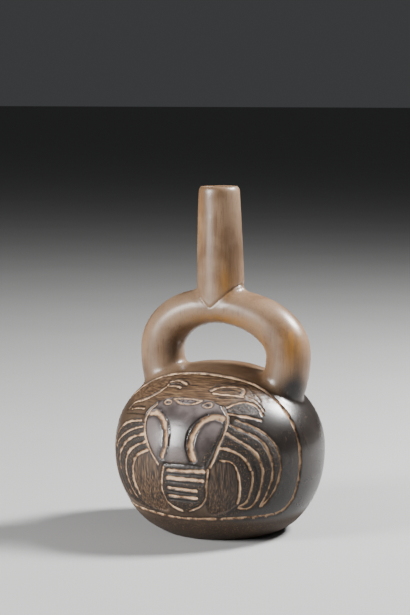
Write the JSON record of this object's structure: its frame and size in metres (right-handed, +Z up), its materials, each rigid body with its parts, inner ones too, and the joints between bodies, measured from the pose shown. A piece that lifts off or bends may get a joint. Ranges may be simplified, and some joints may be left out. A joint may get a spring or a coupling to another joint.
{
  "type": "stirrup spout vessel",
  "caption": "Round hollow clay bottle with a stirrup of tube over the body, a tall tapering spout and a creature with curling legs carved on the front",
  "frame": {"origin": "centre of the flat underside, on the resting plane", "axes": "+Z up through the spout; the carved front faces -Y; the stirrup lies in the X-Z plane"},
  "size_m": [0.1486, 0.1413, 0.24],
  "materials": {
    "clay": "burnished brown clay, matt in the carved ground"
  },
  "bodies": {
    "root": {"vessel": "clay"}
  },
  "joints": []
}
